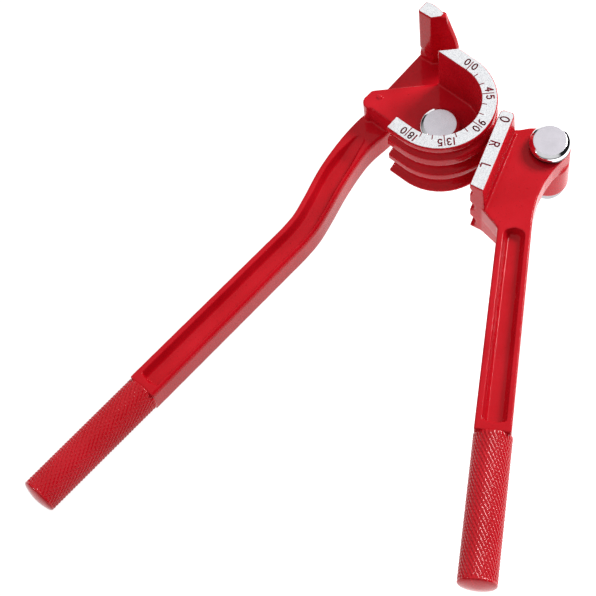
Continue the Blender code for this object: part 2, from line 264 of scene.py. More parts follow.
def cap(bm, z, outline, holes=()):
    """A flat face at z with holes left open."""
    edges = []
    for loop in (outline, *holes):
        verts = [bm.verts.new((x, y, z)) for x, y in loop]
        for i, vert in enumerate(verts):
            edges.append(bm.edges.new((vert, verts[(i + 1) % len(verts)])))
    bmesh.ops.triangle_fill(bm, use_beauty=True, edges=edges)


def raised(loop, z):
    """The outline as 3-D points at a height."""
    return [(x, y, z) for x, y in loop]


def slab(outline, z0, z1, holes=(), bottom=(), chamfer=0.0):
    """A plate with through holes, recesses in its lower face and chamfered rims."""
    bm = bmesh.new()
    if area(outline) < 0:
        outline = outline[::-1]
    rim = inset(outline, chamfer) if chamfer else outline
    if chamfer:
        wall(bm, raised(rim, z0), raised(outline, z0 + chamfer))
        wall(bm, raised(outline, z1 - chamfer), raised(rim, z1))
    wall(bm, raised(outline, z0 + chamfer), raised(outline, z1 - chamfer))
    for hole in holes:
        wall(bm, raised(hole, z0), raised(hole, z1))
    draft = 0.8
    for loop, depth in bottom:
        floor = inset(loop, draft)
        wall(bm, raised(loop if area(loop) > 0 else loop[::-1], z0), raised(floor, z0 + depth))
        cap(bm, z0 + depth, floor)
    cap(bm, z0, rim, (*holes, *(loop for loop, _ in bottom)))
    cap(bm, z1, rim, holes)
    return bm


def sweep(sections):
    """A solid through closed sections of 3-D points."""
    bm = bmesh.new()
    for low, high in zip(sections, sections[1:]):
        wall(bm, low, high)
    for section in (sections[0], sections[-1]):
        verts = [bm.verts.new(p) for p in section]
        edges = [bm.edges.new((v, verts[(i + 1) % len(verts)])) for i, v in enumerate(verts)]
        bmesh.ops.triangle_fill(bm, use_beauty=True, edges=edges)
    return bm


def turned(profile, turn, steps=128):
    """A turned solid: profile of (radius, height), open ends closed with a flat face."""
    bm = bmesh.new()
    rings = []
    for radius, height in profile:
        ring = []
        for i in range(steps):
            a = 2.0 * pi * i / steps
            ring.append(turn @ Vector((radius * cos(a), radius * sin(a), height)))
        rings.append(ring)
    for low, high in zip(rings, rings[1:]):
        wall(bm, low, high)
    if profile[0] != profile[-1]:
        for ring in (rings[0], rings[-1]):
            bm.faces.new([bm.verts.new(p) for p in ring])
    return bm


def upright(centre):
    """Places a turned solid with its axis upright at a plan point."""
    return Matrix.Translation((centre[0], centre[1], 0.0))


def lying(start, direction, z):
    """Places a turned solid with its axis level, starting at a plan point."""
    turn = Vector((direction[0], direction[1], 0.0)).to_track_quat("Z", "Y").to_matrix()
    return Matrix.Translation((start[0], start[1], z)) @ turn.to_4x4()


def rounded(profile, radius, steps=5):
    """A profile with each of its corners replaced by a small curve."""
    out = [profile[0]]
    for before, corner, after in zip(profile, profile[1:], profile[2:]):
        b, c, a = (Vector(p) for p in (before, corner, after))
        reach = min(radius, (b - c).length * 0.45, (a - c).length * 0.45)
        start = c + (b - c).normalized() * reach
        stop = c + (a - c).normalized() * reach
        for i in range(steps + 1):
            t = i / steps
            p = start * (1 - t) ** 2 + c * 2 * t * (1 - t) + stop * t * t
            out.append((p.x, p.y))
    out.append(profile[-1])
    return out


def place(bm):
    """Close and orient a millimetre mesh and move it into the frame, in metres."""
    bmesh.ops.remove_doubles(bm, verts=bm.verts[:], dist=MERGE)
    bmesh.ops.recalc_face_normals(bm, faces=bm.faces[:])
    for vert in bm.verts:
        vert.co = (vert.co + Vector((0.0, 0.0, LIFT))) * MM
    return bm


def piece(name, bm, body, looks, replaced=(), sharp=None):
    """A named object from a placed mesh, riding on its body."""
    mesh = bpy.data.meshes.new(name)
    bm.to_mesh(mesh)
    bm.free()
    mesh.shade_smooth()
    if sharp:
        mesh.set_sharp_from_angle(angle=radians(sharp))
    for look in looks:
        mesh.materials.append(look)
    obj = bpy.data.objects.new(name, mesh)
    bpy.context.scene.collection.objects.link(obj)
    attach(obj, body)
    if replaced:
        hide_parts(*replaced)
    return obj


def baked(obj):
    """The object's mesh with its modifiers applied."""
    bpy.context.view_layer.update()
    graph = bpy.context.evaluated_depsgraph_get()
    return bpy.data.meshes.new_from_object(obj.evaluated_get(graph))


def loose(name, bm):
    """A helper object, removed again once its mesh has been used."""
    mesh = bpy.data.meshes.new(name)
    bm.to_mesh(mesh)
    bm.free()
    obj = bpy.data.objects.new(name, mesh)
    bpy.context.scene.collection.objects.link(obj)
    return obj


def carved(body, cutter):
    """A placed mesh with the volume of another taken out of it."""
    keep = loose("keep", body)
    tool = loose("tool", cutter)
    step = keep.modifiers.new("cut", "BOOLEAN")
    step.operation = "DIFFERENCE"
    step.solver = "EXACT"
    step.object = tool
    out = bmesh.new()
    out.from_mesh(baked(keep))
    for old in (keep, tool):
        bpy.data.objects.remove(old, do_unlink=True)
    return out


def fused(shells):
    """One softened skin round overlapping placed shells."""
    whole = bmesh.new()
    for shell in shells:
        part = bpy.data.meshes.new("shell")
        shell.to_mesh(part)
        shell.free()
        whole.from_mesh(part)
        bpy.data.meshes.remove(part)
    obj = loose("fusing", whole)
    grid = obj.modifiers.new("grid", "REMESH")
    grid.mode = "VOXEL"
    grid.voxel_size = VOXEL * MM
    soft = obj.modifiers.new("soft", "SMOOTH")
    soft.factor = 0.5
    soft.iterations = SOFTEN
    out = bmesh.new()
    out.from_mesh(baked(obj))
    bpy.data.objects.remove(obj, do_unlink=True)
    return out


# --------------------------------------------------------------- materials

COLOUR_MIX_INPUTS = (0, 6, 7)        # factor, A and B of a Mix node set to colour
COLOUR_MIX_OUTPUT = 2


class Paint:
    """A node material under construction."""

    def __init__(self, name):
        self.mat = bpy.data.materials.new(name)
        self.mat.use_nodes = True
        self.tree = self.mat.node_tree
        self.shader = self.tree.nodes["Principled BSDF"]
        coords = self.tree.nodes.new("ShaderNodeTexCoord")
        self.where = coords.outputs["Object"]

    def link(self, a, b):
        self.tree.links.new(a, b)

    def noise(self, size_mm, detail=2.0, rough=0.5):
        """Noise with features of about the given size."""
        node = self.tree.nodes.new("ShaderNodeTexNoise")
        node.inputs["Scale"].default_value = 1.0 / (size_mm * MM)
        node.inputs["Detail"].default_value = detail
        node.inputs["Roughness"].default_value = rough
        self.link(self.where, node.inputs["Vector"])
        return node.outputs["Fac"]

    def ramp(self, value, stops):
        """Colours or greys along a value: rows of (position, colour)."""
        node = self.tree.nodes.new("ShaderNodeValToRGB")
        ramp = node.color_ramp
        while len(ramp.elements) < len(stops):
            ramp.elements.new(1.0)
        for element, (position, colour) in zip(ramp.elements, stops):
            element.position = position
            if isinstance(colour, float):
                colour = (colour, colour, colour)
            element.color = (*colour, 1.0)
        self.link(value, node.inputs["Fac"])
        return node.outputs["Color"]

    def mix(self, amount, under, colour):
        """A plain colour laid over another by the given amount."""
        node = self.tree.nodes.new("ShaderNodeMix")
        node.data_type = "RGBA"
        factor, first, second = (node.inputs[i] for i in COLOUR_MIX_INPUTS)
        self.link(amount, factor)
        self.link(under, first)
        second.default_value = (*colour, 1.0)
        return node.outputs[COLOUR_MIX_OUTPUT]

    def bump(self, height, depth_mm, before=None):
        """A bump of the given depth where the height runs from 0 to 1."""
        node = self.tree.nodes.new("ShaderNodeBump")
        node.inputs["Strength"].default_value = 1.0
        node.inputs["Distance"].default_value = depth_mm * MM
        self.link(height, node.inputs["Height"])
        if before:
            self.link(before, node.inputs["Normal"])
        return node.outputs["Normal"]

    def set(self, **values):
        """Set or link the shader's sockets; an underscore stands for a space."""
        for name, value in values.items():
            socket = self.shader.inputs[name.replace("_", " ")]
            if isinstance(value, float):
                socket.default_value = value
            else:
                self.link(value, socket)


def enamel(name, tint=1.0, peel=0.02, gloss=1.0):
    """Glossy red enamel over a casting."""
    paint = Paint(name)
    cloud = paint.ramp(paint.noise(22.0, 3.0), ((0.3, (0.46 * tint, 0.003, 0.009)),
                                                (0.7, (0.54 * tint, 0.007, 0.016))))
    speck = paint.ramp(paint.noise(0.9, 1.0), ((0.24, 1.0), (0.28, 0.0)))
    colour = paint.mix(speck, cloud, (0.30 * tint, 0.001, 0.004))
    edge = paint.tree.nodes.new("ShaderNodeNewGeometry").outputs["Pointiness"]
    # lighter red on sharp convex edges, taken from the mesh's pointiness
    sharp_edge_lighter = paint.ramp(edge, ((0.54, 0.0), (0.62, 0.45)))
    colour = paint.mix(sharp_edge_lighter, colour, (0.72 * tint, 0.012, 0.022))
    rough = paint.ramp(paint.noise(7.0, 4.0, 0.6), ((0.3, 0.20), (0.7, 0.32)))
    ripple = paint.bump(paint.noise(2.6, 2.0), peel)
    grain = paint.bump(paint.noise(0.35, 2.0), peel * 0.15, ripple)
    paint.set(Base_Color=colour, Roughness=rough, Normal=grain, Coat_Normal=ripple,
              Specular_IOR_Level=0.06 * gloss, Coat_Weight=0.28 * gloss, Coat_Roughness=0.05,
              Coat_IOR=1.4)
    return paint.mat


def silver_white(name):
    """The silvery white paint of the scales, with its fine speckle."""
    paint = Paint(name)
    fleck = paint.ramp(paint.noise(0.45, 3.0, 0.7), ((0.35, (0.46, 0.47, 0.50)),
                                                     (0.5, (0.68, 0.69, 0.71)),
                                                     (0.66, (0.80, 0.81, 0.82))))
    soil = paint.ramp(paint.noise(4.0, 4.0, 0.65), ((0.32, 0.5), (0.45, 0.0)))
    colour = paint.mix(soil, fleck, (0.62, 0.58, 0.60))
    rough = paint.ramp(paint.noise(0.6, 2.0), ((0.3, 0.32), (0.7, 0.55)))
    grain = paint.bump(paint.noise(0.4, 3.0), 0.012)
    paint.set(Base_Color=colour, Roughness=rough, Normal=grain, Metallic=0.15)
    return paint.mat


def lettering(name):
    """Dark red of the marks on the white paint."""
    paint = Paint(name)
    colour = paint.ramp(paint.noise(0.8, 2.0), ((0.3, (0.15, 0.0, 0.008)),
                                                (0.7, (0.22, 0.0, 0.014))))
    rough = paint.ramp(paint.noise(0.5, 2.0), ((0.3, 0.3), (0.7, 0.5)))
    paint.set(Base_Color=colour, Roughness=rough, Normal=paint.bump(paint.noise(0.4), 0.01),
              Specular_IOR_Level=0.05)
    return paint.mat


def bright_metal(name, colour, low, high, size, depth):
    """Metal with a fine finish of the given size, its roughness from low to high."""
    paint = Paint(name)
    darker = tuple(c * 0.9 for c in colour)
    smear = paint.ramp(paint.noise(5.0, 3.0), ((0.3, colour), (0.7, darker)))
    marks = paint.noise(size, 3.0, 0.6)
    rough = paint.ramp(marks, ((0.3, low), (0.7, high)))
    paint.set(Base_Color=smear, Metallic=1.0, Roughness=rough, Normal=paint.bump(marks, depth))
    return paint.mat


RED = enamel("red_enamel")
RED_GRIP = enamel("red_enamel_knurl", 0.97, 0.008, 1.8)
WHITE = silver_white("silver_white_paint")
MARK = lettering("mark_red")
CHROME = bright_metal("chrome_polish", (0.86, 0.86, 0.88), 0.05, 0.10, 1.2, 0.001)
SATIN = bright_metal("chrome_satin", (0.74, 0.71, 0.77), 0.24, 0.36, 0.35, 0.006)
# painted shade: near-black chrome for the foot of each pin head, standing in for its contact
# shadow on the casting
PAINTED_SHADE_CHROME = bright_metal("chrome_painted_shade", (0.07, 0.05, 0.05), 0.26, 0.40, 0.35, 0.006)
STEEL = bright_metal("ring_steel", (0.38, 0.38, 0.40), 0.28, 0.45, 0.3, 0.004)


# ------------------------------------------------------------ the castings

def groove_profile(face, sign, top, bottom, edge=0.4):
    """Points up a grooved face; sign is -1 where the material lies at smaller numbers."""
    out = [(face + sign * edge, bottom), (face, bottom + edge)]
    share, side = 0.88, 8            # part of each arc that is kept, steps to each side
    for level, radius in GROOVES:
        reach = acos(abs(face - DIE_R) / radius)
        half = radius * sin(reach) + 0.35
        out.append((face, level - half))
        for i in range(2 * side + 1):
            a = reach * share * (i / side - 1.0)
            out.append((DIE_R + sign * radius * cos(a), level + radius * sin(a)))
        out.append((face, level + half))
    out += [(face, top - edge), (face + sign * edge, top)]
    return out


def stations(radii, steps=96):
    """Plan points of one radius list at every station round the die."""
    rows = [[(r, CUT_SUM - r) for r in radii]]
    for i in range(steps + 1):
        a = -pi * i / steps
        rows.append([(r * cos(a), r * sin(a)) for r in radii])
    rows.append([(-r, DIE_TAIL) for r in radii])
    return rows


BEAM_EDGE = 0.7                      # bevel of a handle's plain edges
# the rounded edge from top to side, as shares of its size inwards and down
QUARTER = ((1.0, 0.0), (0.62, 0.08), (0.29, 0.29), (0.08, 0.62), (0.0, 1.0))
RECESS_POINTS = (3, 4, 5, 6, 14, 15, 16, 17)         # their places in a section


def beam(line, top, draft, shift, soft, pocket):
    """A handle with a long recess in each face.

    line has (x, y, half width) rows; pocket(s, half) gives the floor's half width
    and its depth at a distance s along the line, shift how far it lies off the line
    and soft is the rounding of the upper edge on that side."""
    sections = []
    run = 0.0
    for i, (x, y, half) in enumerate(line):
        if i:
            run += hypot(x - line[i - 1][0], y - line[i - 1][1])
        a = line[max(0, i - 1)]
        b = line[min(len(line) - 1, i + 1)]
        side = Vector((a[1] - b[1], b[0] - a[0])).normalized()
        flat, depth = pocket(run, half)
        lip = flat + max(0.15, draft * depth / POCKET)
        base = top - BEAM_T
        c = BEAM_EDGE
        points = [(-half, base + c), (-half, top - c), (c - half, top), (-lip, top),
                  (-flat, top - depth), (flat, top - depth), (lip, top)]
        points += [(half - soft * near, top - soft * down) for near, down in QUARTER]
        points += [(half, base + c), (half - c, base), (lip, base), (flat, base + depth),
                   (-flat, base + depth), (-lip, base), (c - half, base)]
        points = [(n + shift, z) if k in RECESS_POINTS else (n, z)
                  for k, (n, z) in enumerate(points)]
        sections.append([(x + side.x * n, y + side.y * n, z) for n, z in points])
    return sweep(sections)


def ends_rounded(s, start, stop, flat):
    """Half width of a recess whose first end is a half circle and last end is square."""
    if s <= start or s >= stop:
        return CLOSED
    into = min(flat, s - start)
    return max(CLOSED, sqrt(max(0.0, flat * flat - (flat - into) ** 2)))


def fixed_casting():
    """Die, floor, hub, hook and fixed handle as one casting."""
    profile = [(DIE_IN, 0.0), *groove_profile(DIE_R, -1.0, DIE_TOP, 0.0), (DIE_IN, DIE_TOP)]
    sections = []
    for row in stations([r for r, _ in profile]):
        sections.append([(x, y, z) for (x, y), (_, z) in zip(row, profile)])
    shells = [sweep(sections)]

    # floor of the hollow, out to the handle, with a small round boss; hub below
    rim = DIE_IN + 0.8
    floor = arc((0.0, 0.0), rim, 0.0, -180.0, 64)
    floor += [(-rim, DIE_TAIL - 0.5), (-DIE_IN, DIE_TAIL), (-11.2, 20.0), (-11.2, 34.6)]
    floor += arc((-8.2, 36.6), 4.2, 190.0, 95.0, 10) + arc((-4.6, 37.3), 3.3, 90.0, 48.0, 6)
    floor += [(rim, CUT_SUM - 0.1 - rim)]
    bore = circle((0.0, 0.0), BORE_R, 48)
    shells.append(slab(floor, 0.0, FLOOR_TOP, (bore,)))
    pip = circle((-3.9, 35.0), 1.2, 24)
    shells.append(slab(pip, FLOOR_TOP - 1.5, FLOOR_TOP + 0.9))
    hub = circle((0.0, 0.0), HUB_R, 72)
    shells.append(slab(hub, HUB_BOTTOM, 0.6, (bore,), chamfer=0.5))

    # plate under the hook, its inner side parallel to the die's slanting end
    under = CUT_SUM - LAP
    plate = [(under - HOOK_BACK, HOOK_BACK), (HOOK_OUT, HOOK_BACK), (HOOK_OUT, 20.0)]
    plate += [(35.0, 15.0), (27.0, under - 27.0)]
    shells.append(slab(plate, PLATE_BOTTOM, PLATE_TOP, chamfer=0.4))

    # post with the largest tube's relief, and the gusset beside it
    tube = turned([(HOOK_RELIEF, 0.0), (HOOK_RELIEF, 30.0)],
                  lying((DIE_R, 20.0), (0.0, 1.0), GROOVES[0][0]), 64)
    hook = carved(place(slab(POST, PLATE_TOP - LAP, DIE_TOP, chamfer=0.3)), place(tube))

    edge = [(PLATE_TOP - LAP, 20.2), (10.0, 19.9), (20.0, 19.7), (24.5, 20.6), (28.6, 22.0)]
    edge += [(32.4, 23.6), (36.2, 25.1), (38.6, 26.1), (DIE_TOP, 27.3)]
    sections = []
    for z, y in edge:
        plan = [(36.0, 29.0), (36.0, 27.6), (36.9, min(25.2, y)), (38.8, y), (HOOK_OUT, y),
                (HOOK_OUT, 29.0)]
        sections.append(raised(plan, z))
    shells.append(sweep(sections))

    # cranked handle, straight from far to the grip
    straight, count = 104.0, 80
    far = Vector(A_GRIP) - A_DIR * straight
    rows = [(-1.5, 30.0, 6.4), (-11.0, 32.2, 7.9), (-26.0, 33.0, 7.5), (-45.0, 30.6, 7.6)]
    rows += [(-63.0, 26.2, 7.4), (-74.0, 23.9, 7.3), (far.x, far.y, 7.3)]
    line = smooth_line(rows, 14)
    step = straight / count
    for i in range(1, count + 1):
        x, y = line[-1][:2]
        line.append((x + A_DIR.x * step, y + A_DIR.y * step, 7.3 + 0.3 * i / count))
    total = sum(hypot(b[0] - a[0], b[1] - a[1]) for a, b in zip(line, line[1:]))

    def pocket(s, half):
        widen = min(1.0, 0.65 + 0.35 * (s - A_RECESS) / 22.0)
        flat = ends_rounded(s, A_RECESS, total - 4.6, (half - 4.0) * widen)
        sink = min(1.0, max(0.0, (s - A_RECESS) / 16.0 + 0.1))
        return flat, POCKET * sink if flat > CLOSED else 0.0

    shells.append(beam(line, A_TOP, 1.6, 0.5, 2.5, pocket))
    skin = fused([place(shell) for shell in shells] + [hook])
    return piece("fixed_casting", skin, "former", [RED],
                 ("forming_die", "former_floor", "former_hub", "hook_plate", "tube_hook",
                  "hook_gusset", "fixed_handle"))


def swing_casting():
    """Shoe, arm plate, skirt, pin boss and swinging handle as one casting."""
    low, high = SHOE_ENDS
    profile = [*groove_profile(SHOE_FACE, 1.0, DIE_TOP, SHOE_FOOT), (SHOE_BACK, DIE_TOP),
               (SHOE_BACK + 0.7, B_TOP), (SHOE_BACK + 0.7, SHOE_FOOT)]
    sections = []
    for u, shift in ((low, -0.16), (high - 1.2, 0.0)):
        sections.append([(*uv(u + shift * (v - SHOE_FACE), v), z) for v, z in profile])
    middle = (SHOE_FACE + SHOE_BACK) / 2.0
    sections.append([(*uv(high, middle + (v - middle) * 0.72), z) for v, z in profile])
    shells = [sweep(sections)]

    # arm plate, hollow underneath
    back = SHOE_BACK - 0.6
    bore = circle(ARM_PIN, BORE_R, 48)
    plate = [(-39.6, back), (6.0, back), (6.6, back + 2.0), (9.2, 42.0), (11.0, 47.0)]
    plate += arc(ARM_PIN_UV, BOSS_R, -30.0, 84.0, 24)
    plate += [(-2.5, 62.4), (-9.0, 60.0), (-16.0, 58.4), (-24.0, 57.9), (-32.0, 58.7)]
    plate += [to_uv(along_b(B_START + 1.0, 7.5)), to_uv(along_b(B_START + 1.0, -8.0)),
              to_uv(along_b(B_START + 3.6, -8.1))]
    under = [(-34.5, back + 5.0), (-1.0, back + 5.0), (-3.5, 46.0), (-9.0, 50.0), (-22.0, 53.0)]
    under += [(-33.5, 51.0)]
    shells.append(slab([uv(*p) for p in plate], B_TOP - PLATE_T, B_TOP, (bore,),
                       bottom=(([uv(*p) for p in under], 6.0),), chamfer=0.5))

    # skirt and pin boss below the plate
    skirt = [(-39.6, back), (1.5, back), (1.5, back + 6.0), (-33.0, back + 6.0), (-36.4, 48.8)]
    skirt += [(-42.6, 48.6), (-43.9, 44.4)]
    shells.append(slab([uv(*p) for p in skirt], SHOE_FOOT, B_TOP - PLATE_T + 0.6, chamfer=0.4))
    boss = circle(ARM_PIN, BOSS_R, 72)
    shells.append(slab(boss, HUB_BOTTOM + 0.7, B_TOP - PLATE_T + 0.6, (bore,), chamfer=0.6))

    # straight handle
    line = []
    count = 84
    for i in range(count + 1):
        s = B_START - LAP + (B_GRIP - B_START + LAP) * i / count
        line.append((*along_b(s, -0.27), 7.95 + 0.55 * i / count))
    first = B_START - LAP
    start = 60.5 - 4.6 - first
    stop = B_GRIP - 4.8 - first

    def pocket(s, half):
        flat = ends_rounded(s, start, stop, half - 4.85)
        return flat, POCKET if flat > CLOSED else 0.0

    shells.append(beam(line, B_TOP, 1.9, 0.27, 0.7, pocket))
    skin = fused([place(shell) for shell in shells])
    return piece("swing_casting", skin, "arm", [RED],
                 ("bending_shoe", "arm_plate", "arm_skirt", "arm_boss", "swing_handle"))


# ------------------------------------------------------------------- grips

def knurled_grip(name, start, direction, level, body, replaced):
    """A round grip with a diamond knurl cut by two families of helical grooves."""
    starts = 31                      # grooves round the grip in each family
    lean = 0.3125                    # how far a groove turns, in pitches per millimetre
    depth = 0.5
    around = starts * 8
    along = 190
    r = GRIP_R
    envelope = [(r - 1.4, -0.4), (r - 0.3, -0.3), (r - 0.04, 0.0), (r, 1.2)]
    envelope += [(r, 1.2 + (GRIP_L - 1.8) * (i + 1) / along) for i in range(along)]
    rim = [(r - 0.08, GRIP_L - 0.2), (r - 0.35, GRIP_L + 0.2), (r - 0.8, GRIP_L + 0.55)]
    rim += [(r * 0.8, GRIP_L + 0.95), (r * 0.6, GRIP_L + 1.4), (r * 0.4, GRIP_L + 1.75)]
    rim += [(r * 0.2, GRIP_L + 1.95), (r * 0.06, GRIP_L + 2.05)]
    profile = envelope + rim
    turn = lying(start, direction, level)
    rows = []
    for radius, height in profile:
        fade = min(1.0, max(0.0, (height - 0.2) / 1.0), max(0.0, (GRIP_L - 0.3 - height) / 0.8))
        row = []
        for i in range(around):
            a = 2.0 * pi * i / around
            cut = 0.0
            for sign, share in ((1.0, 1.0), (-1.0, 0.62)):
                phase = starts * a / (2.0 * pi) + sign * height * lean
                cut = max(cut, share * (1.0 - min(1.0, 2.05 * abs(phase % 1.0 - 0.5))))
            size = radius - depth * fade * cut
            row.append(turn @ Vector((size * cos(a), size * sin(a), height)))
        rows.append(row)
    bm = bmesh.new()
    rings = [[bm.verts.new(p) for p in row] for row in rows]
    for low, high in zip(rings, rings[1:]):
        for i in range(around):
            j = (i + 1) % around
            bm.faces.new((low[i], low[j], high[j], high[i]))
    for ring in (rings[0], rings[-1]):
        bm.faces.new(ring)
    return piece(name, place(bm), body, [RED_GRIP], (replaced,), 60)


# ------------------------------------------------------- pins, link, rings

def headed_pin(name, centre, seat, body):
    """A pin: head with a polished rim, satin top and painted shade round its foot, shank,
    riveted end.
    """
    z = seat + 0.15
    top = seat + GAP + HEAD_T
    end = LINK_TOP - LINK_T - GAP - RING_T
    head = [(SHANK_R, z + 0.02), (HEAD_R - 1.4, z), (HEAD_R - 0.9, z + 0.5),
            (HEAD_R - 0.15, z + 1.2), (HEAD_R, z + 1.5), (HEAD_R, seat + PAINTED_SHADE_HEIGHT),
            (HEAD_R, top - 2.6)]
    bend = 1.7
    for i in range(8):
        a = radians(8.0 * i)
        head.append((HEAD_R - bend * (1.0 - cos(a)), top - 2.1 + bend * sin(a)))
    head += [(HEAD_R - 1.76, top - 0.05), (HEAD_R - 1.83, top), (HEAD_R - 2.1, top), (1.0, top)]
    rivet = [(0.6, end - 1.0), (RIVET_R - 2.2, end - 1.0), (RIVET_R - 0.9, end - 0.9),
             (RIVET_R - 0.2, end - 0.6), (RIVET_R, end - 0.35), (SHANK_R, end - 0.1)]
    looks = [CHROME, SATIN, PAINTED_SHADE_CHROME]
    bm = turned([*rivet, *head], upright(centre))
    bmesh.ops.remove_doubles(bm, verts=bm.verts[:], dist=MERGE)
    for face in bm.faces:
        level = face.calc_center_median().z
        look = CHROME
        if level > top - 0.03 or level < end - 0.8:
            look = SATIN
        # painted shade: the faces low on the head get the dark chrome in place of a contact
        # shadow
        elif seat < level < seat + PAINTED_SHADE_HEIGHT:
            look = PAINTED_SHADE_CHROME
        face.material_index = looks.index(look)
    return piece(name + "_turned", place(bm), body, looks, (name,), 50)


def link_plate():
    """The plain steel link with softly rounded edges."""
    lean = atan2(ARM_PIN[1], ARM_PIN[0]) * 180.0 / pi
    outline = arc((0.0, 0.0), LINK_R, lean + 90.0, lean + 270.0, 60)
    outline += arc(ARM_PIN, LINK_R, lean - 90.0, lean + 90.0, 60)
    outline = dense(outline, 4.0)
    holes = [circle(c, BORE_R, 60) for c in ((0.0, 0.0), ARM_PIN)]
    z0, z1 = LINK_TOP - LINK_T, LINK_TOP
    bm = bmesh.new()
    levels = []
    for i in range(6):
        a = radians(18.0 * i)
        levels.append((LINK_EDGE * (1.0 - sin(a)), z0 + LINK_EDGE * (1.0 - cos(a))))
    levels += [(pull, z0 + z1 - z) for pull, z in reversed(levels)]
    for (pull0, low), (pull1, high) in zip(levels, levels[1:]):
        wall(bm, raised(inset(outline, pull0), low), raised(inset(outline, pull1), high))
    for hole in holes:
        wall(bm, raised(hole, z0), raised(hole, z1))
    for z in (z0, z1):
        cap(bm, z, inset(outline, LINK_EDGE), holes)
    return piece("link_plate", place(bm), "link", [STEEL], ("link_bar",), 40)


def retaining_ring(name, centre, body):
    """A ring round the pin's end: three rounded rims, the lower inner one sloped."""
    top = LINK_TOP - LINK_T - RING_GAP
    foot = top - RING_T
    inner = BORE_R - 0.15
    corners = [(inner, foot), (RING_R, foot), (RING_R, top), (inner, top), (inner, foot)]
    profile = rounded(corners, 0.4)[1:-1]
    profile.append(profile[0])
    bm = turned(profile, upright(centre), 96)
    return piece(name + "_rounded", place(bm), body, [STEEL], (name,), 50)


# ----------------------------------------------------- scales and lettering

def film(name, outline, body, replaced):
    """A thin layer of paint whose edge wanders a little."""
    loop = dense(outline if area(outline) > 0 else outline[::-1], 0.35)
    pulled = inset(loop, 1.0)
    rim = []
    inner = []
    for (x, y), (px, py) in zip(loop, pulled):
        wander = noise.noise(Vector((x * 1.1, y * 1.1, PAINT_TOP)))
        wander = wander + 0.5 * noise.noise(Vector((x * 3.0, y * 3.0, 5.0)))
        t = 0.05 + RAGGED * (1.0 + wander)
        rx, ry = x + (px - x) * t, y + (py - y) * t
        rim.append((rx, ry))
        inner.append((rx + (px - rx) * PAINT_EDGE, ry + (py - ry) * PAINT_EDGE))
    bm = bmesh.new()
    wall(bm, raised(rim, PAINT_FOOT), raised(rim, PAINT_TOP - PAINT_EDGE))
    wall(bm, raised(rim, PAINT_TOP - PAINT_EDGE), raised(inner, PAINT_TOP))
    cap(bm, PAINT_FOOT, rim)
    cap(bm, PAINT_TOP, inner)
    return piece(name, place(bm), body, [WHITE], (replaced,), 40)


def oval(x, y, across, along, step):
    """Points round an oval, from its foot when along is positive."""
    return [(x + across * sin(radians(a)), y - along * cos(radians(a)))
            for a in range(0, 361, step)]


# lines of each character in a box from 0 to 1
GLYPHS = {
    "0": (oval(0.5, 0.5, 0.42, 0.48, 20),),
    "1": ([(0.5, 0.0), (0.5, 1.0)],),
    "3": ([(0.12, 0.82), (0.30, 0.97), (0.62, 0.98), (0.84, 0.84), (0.84, 0.68), (0.66, 0.55),
           (0.42, 0.53)],
          [(0.66, 0.55), (0.88, 0.42), (0.90, 0.20), (0.68, 0.03), (0.36, 0.02), (0.10, 0.18)]),
    "4": ([(0.70, 0.0), (0.70, 0.98), (0.08, 0.30), (0.95, 0.30)],),
    "5": ([(0.86, 0.97), (0.24, 0.97), (0.17, 0.55), (0.45, 0.64), (0.76, 0.56), (0.90, 0.34),
           (0.80, 0.11), (0.52, 0.01), (0.24, 0.05), (0.10, 0.17)],),
    "8": (oval(0.5, 0.76, 0.33, 0.23, 24), oval(0.5, 0.27, 0.40, 0.27, 24)),
    "9": (oval(0.5, 0.70, 0.36, -0.28, 24),
          [(0.86, 0.70), (0.84, 0.36), (0.66, 0.08), (0.34, 0.0)]),
    "R": ([(0.14, 0.0), (0.14, 0.98), (0.60, 0.98), (0.84, 0.86), (0.84, 0.64), (0.60, 0.52),
           (0.14, 0.52)],
          [(0.52, 0.52), (0.90, 0.0)]),
    "L": ([(0.18, 0.98), (0.18, 0.02), (0.86, 0.02)],),
}


def stroke(bm, points, width):
    """A low rounded bead along a line of plan points."""
    half = width / 2.0
    for (x0, y0), (x1, y1) in zip(points, points[1:]):
        run = Vector((x1 - x0, y1 - y0))
        turn = atan2(run.y, run.x) * 180.0 / pi
        outline = arc((x1, y1), half, turn - 90.0, turn + 90.0, 6)
        outline += arc((x0, y0), half, turn + 90.0, turn + 270.0, 6)
        low = [bm.verts.new((x, y, MARK_FOOT)) for x, y in outline]
        inner = inset(outline, half * 0.35)
        high = [bm.verts.new((x, y, MARK_FOOT + MARK_T)) for x, y in inner]
        for i in range(len(low)):
            j = (i + 1) % len(low)
            bm.faces.new((low[i], low[j], high[j], high[i]))
        bm.faces.new(high)
        bm.faces.new(low[::-1])


def glyph(bm, character, centre, up, size, width):
    """One character with its middle at a plan point and its top towards up."""
    across = Vector((up.y, -up.x))
    for line in GLYPHS[character]:
        points = []
        for gx, gy in line:
            p = Vector(centre) + across * ((gx - 0.5) * size[0]) + up * ((gy - 0.5) * size[1])
            points.append((p.x, p.y))
        stroke(bm, points, width)


def marks_piece(name, bm, body):
    """The strokes as one object; they overlap, so no points are merged."""
    for vert in bm.verts:
        vert.co = (vert.co + Vector((0.0, 0.0, LIFT))) * MM
    return piece(name, bm, body, [MARK])


